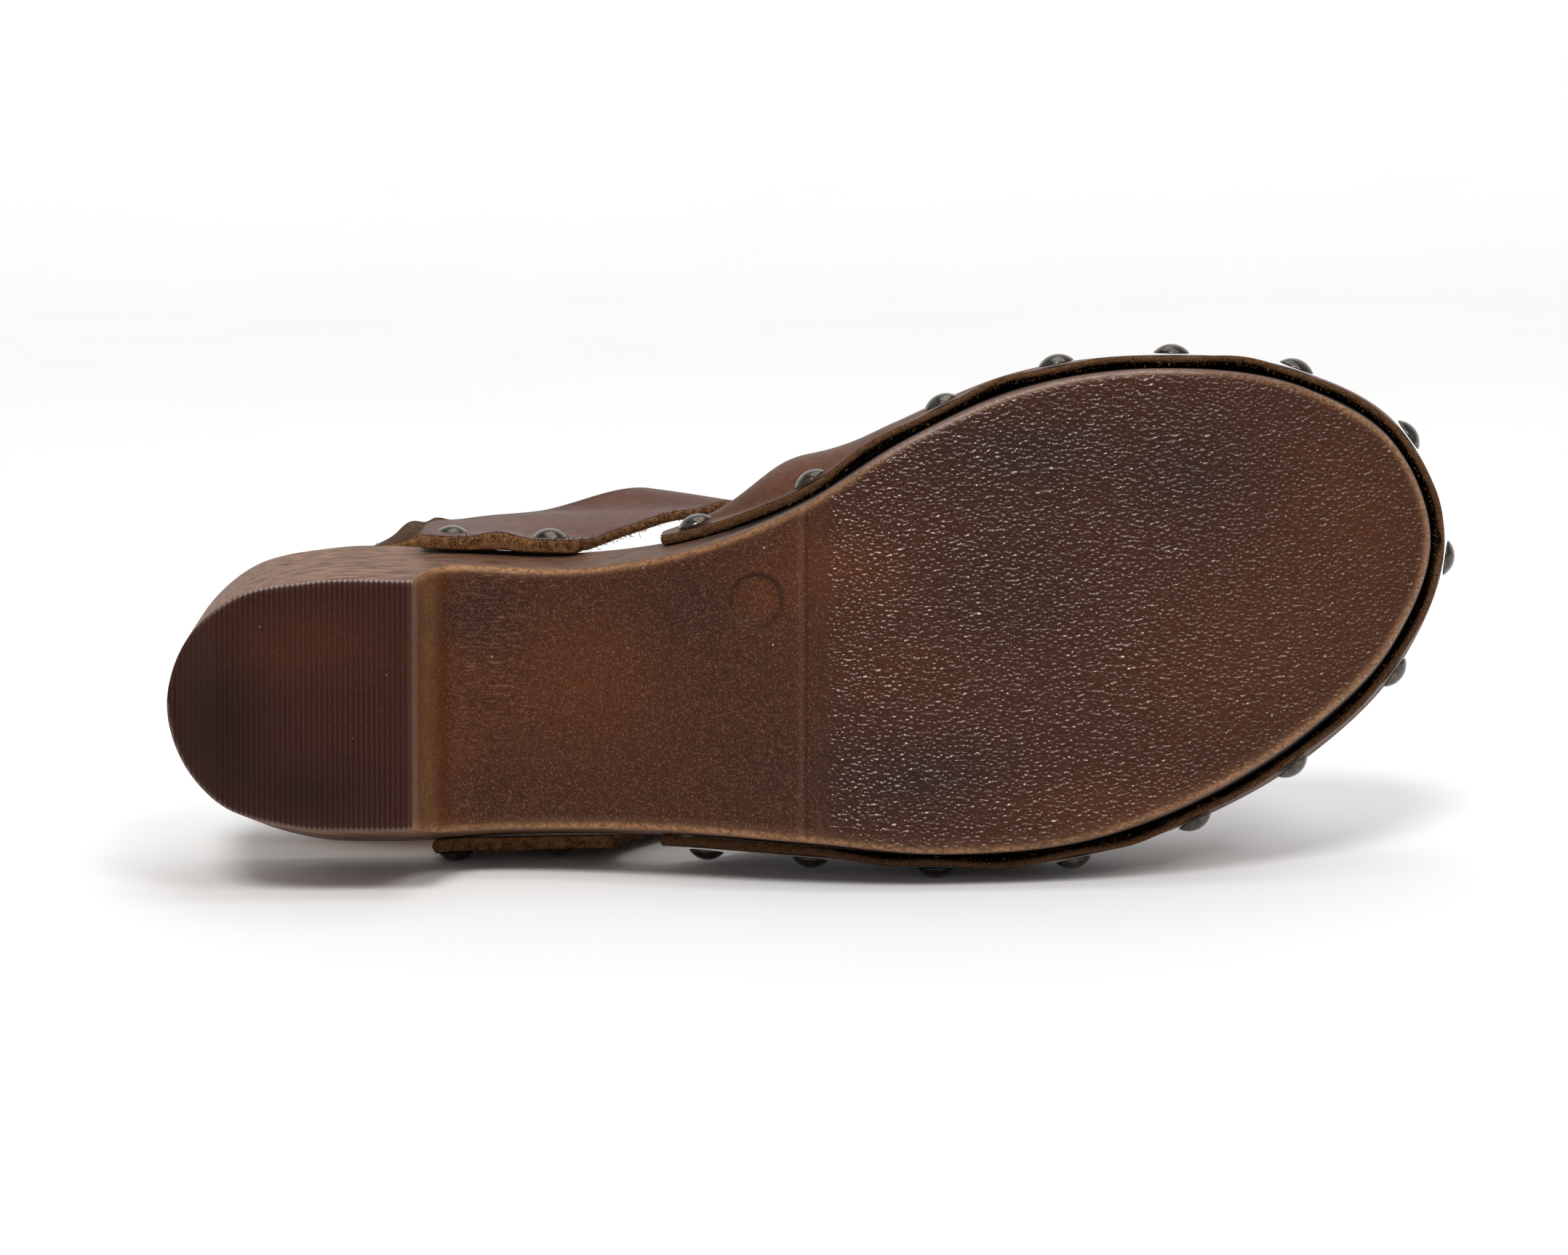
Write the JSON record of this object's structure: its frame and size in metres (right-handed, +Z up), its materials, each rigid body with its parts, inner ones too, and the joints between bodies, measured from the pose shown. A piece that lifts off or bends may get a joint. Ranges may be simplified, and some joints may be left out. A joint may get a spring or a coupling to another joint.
{
  "type": "clog sandal",
  "caption": "Left clog sandal with a wood-look platform sole, a studded closed-toe leather vamp, an ear strap over the instep and a band round the heel, lying on its outer side.",
  "frame": {"origin": "middle of the shoe's box, on the floor that it lies on", "axes": "+X from heel to toe, +Z up from the floor; the tread faces -Y and a little upwards"},
  "size_m": [0.2592, 0.1108, 0.1043],
  "materials": {
    "wood_look_sole": "satin",
    "sock_leather": "matte",
    "grain_leather": "satin",
    "rough_leather": "matte",
    "antique_nickel": "satin"
  },
  "bodies": {
    "root": {"sole": "wood_look_sole", "insole": "sock_leather", "vamp": "grain_leather", "strap": "grain_leather", "back_strap": "rough_leather", "stud_01": "antique_nickel", "stud_02": "antique_nickel", "stud_03": "antique_nickel", "stud_04": "antique_nickel", "stud_05": "antique_nickel", "stud_06": "antique_nickel", "stud_07": "antique_nickel", "stud_08": "antique_nickel", "stud_09": "antique_nickel", "stud_10": "antique_nickel", "stud_11": "antique_nickel", "stud_12": "antique_nickel", "stud_13": "antique_nickel", "stud_14": "antique_nickel", "stud_15": "antique_nickel", "stud_16": "antique_nickel", "stud_17": "antique_nickel", "stud_18": "antique_nickel", "stud_19": "antique_nickel"}
  },
  "joints": []
}
